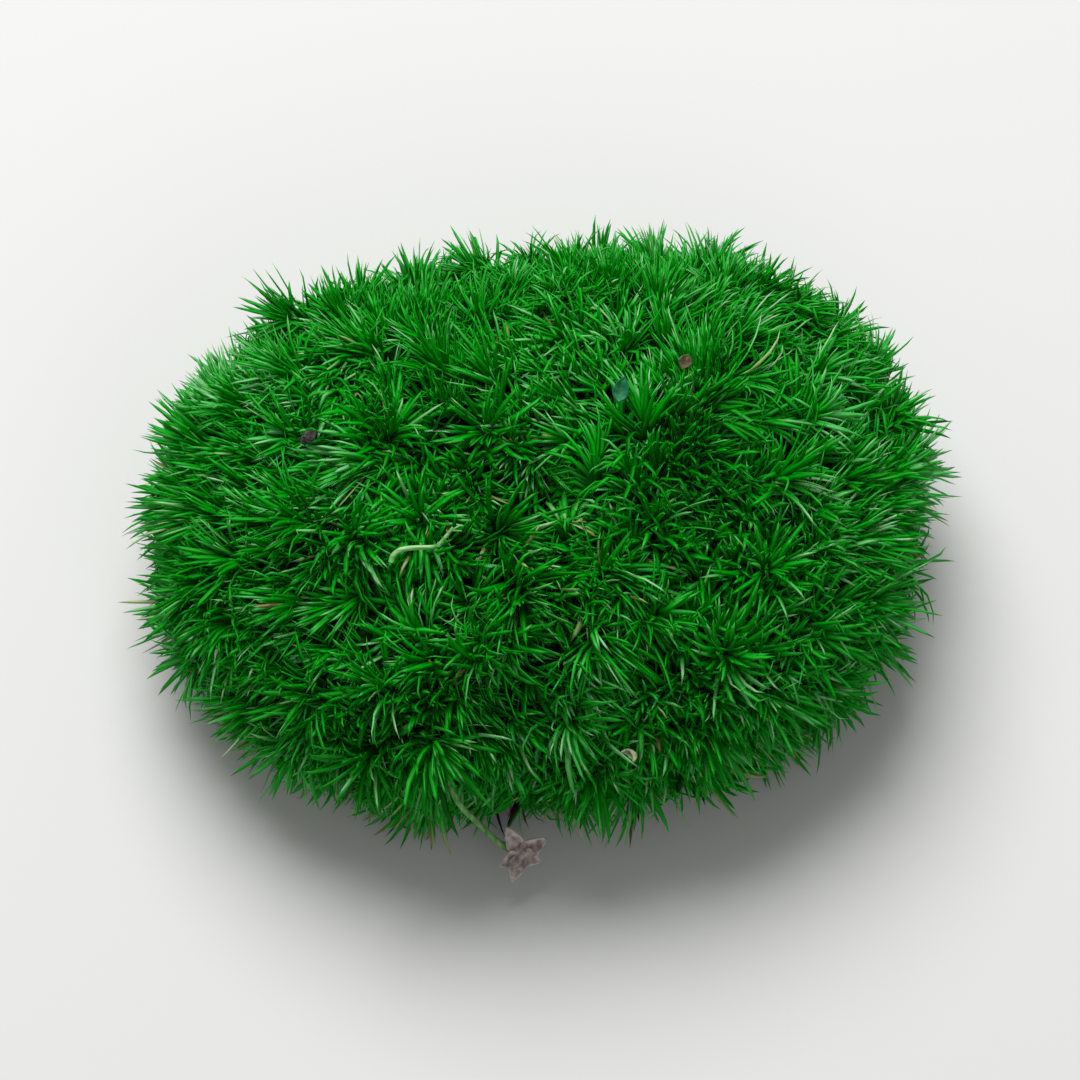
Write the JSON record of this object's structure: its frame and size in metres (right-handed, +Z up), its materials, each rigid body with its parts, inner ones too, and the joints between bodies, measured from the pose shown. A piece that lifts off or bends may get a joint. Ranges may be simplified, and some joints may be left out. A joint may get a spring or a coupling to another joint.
{
  "type": "moss clump",
  "caption": "Low domed clump of cushion moss, cut flat underneath, on a thin mat of roots and humus, with dry scraps caught in it.",
  "frame": {"origin": "middle of the clump's box at its base, on the flat cut it rests on", "axes": "+X along the clump's width, to the right seen from the front; +Y to its back; +Z up"},
  "size_m": [0.1056, 0.088, 0.0456],
  "materials": {
    "moss": "soft tufts of narrow keeled leaves",
    "humus": "matte matted fibres and crumbs",
    "dry_straw": "dry, slightly glossy",
    "dry_petal": "papery, wrinkled",
    "green_stalk": "satin",
    "brown_bark": "matte",
    "dry_scale": "papery",
    "pale_chaff": "papery, curled",
    "leaf_bit": "satin"
  },
  "bodies": {
    "root": {"moss_cushion": "moss", "root_mat": "humus", "pale_straw": "dry_straw", "calyx_star": "dry_petal", "calyx_stalk": "green_stalk", "brown_flake": "brown_bark", "pink_flake": "dry_scale", "pale_flake": "pale_chaff", "leaf_bit": "leaf_bit"}
  },
  "joints": []
}
